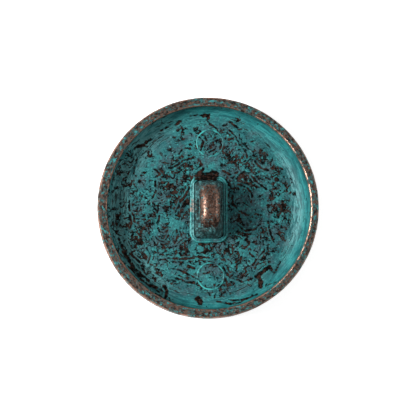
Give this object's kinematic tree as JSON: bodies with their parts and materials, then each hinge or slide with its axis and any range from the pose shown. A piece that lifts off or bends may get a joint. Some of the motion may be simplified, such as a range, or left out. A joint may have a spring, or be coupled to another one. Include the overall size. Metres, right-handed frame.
{
  "type": "metal shank button",
  "caption": "Round metal garment button with a rolled rim, a dished back, and a cast loop shank in a raised window, patinated blue-green over copper.",
  "frame": {"origin": "under the middle of the button's face, on the surface that the button lies on face down", "axes": "+Z from the face to the back, along the way the shank stands; +Y along the shank's bar; +X along the shank's eye"},
  "size_m": [0.023, 0.023, 0.0062],
  "materials": {
    "worn_copper": "thin pressed copper-alloy shell, browned and spotted with blue-green patina, rubbed to copper on the edges of its rolled rim",
    "verdigris": "die-cast copper-alloy back with a mottled blue-green patina over brown-black, dull on the floor and satin on the wall",
    "rubbed_copper": "cast copper-alloy loop, dark patina on its sides, rubbed to warm copper along the crest",
    "grey_card": "grey-brown pressed card, hidden inside"
  },
  "bodies": {
    "root": {"face_cap": "worn_copper", "back_dish": "verdigris", "shank": "rubbed_copper", "filler_disc": "grey_card"}
  },
  "joints": []
}
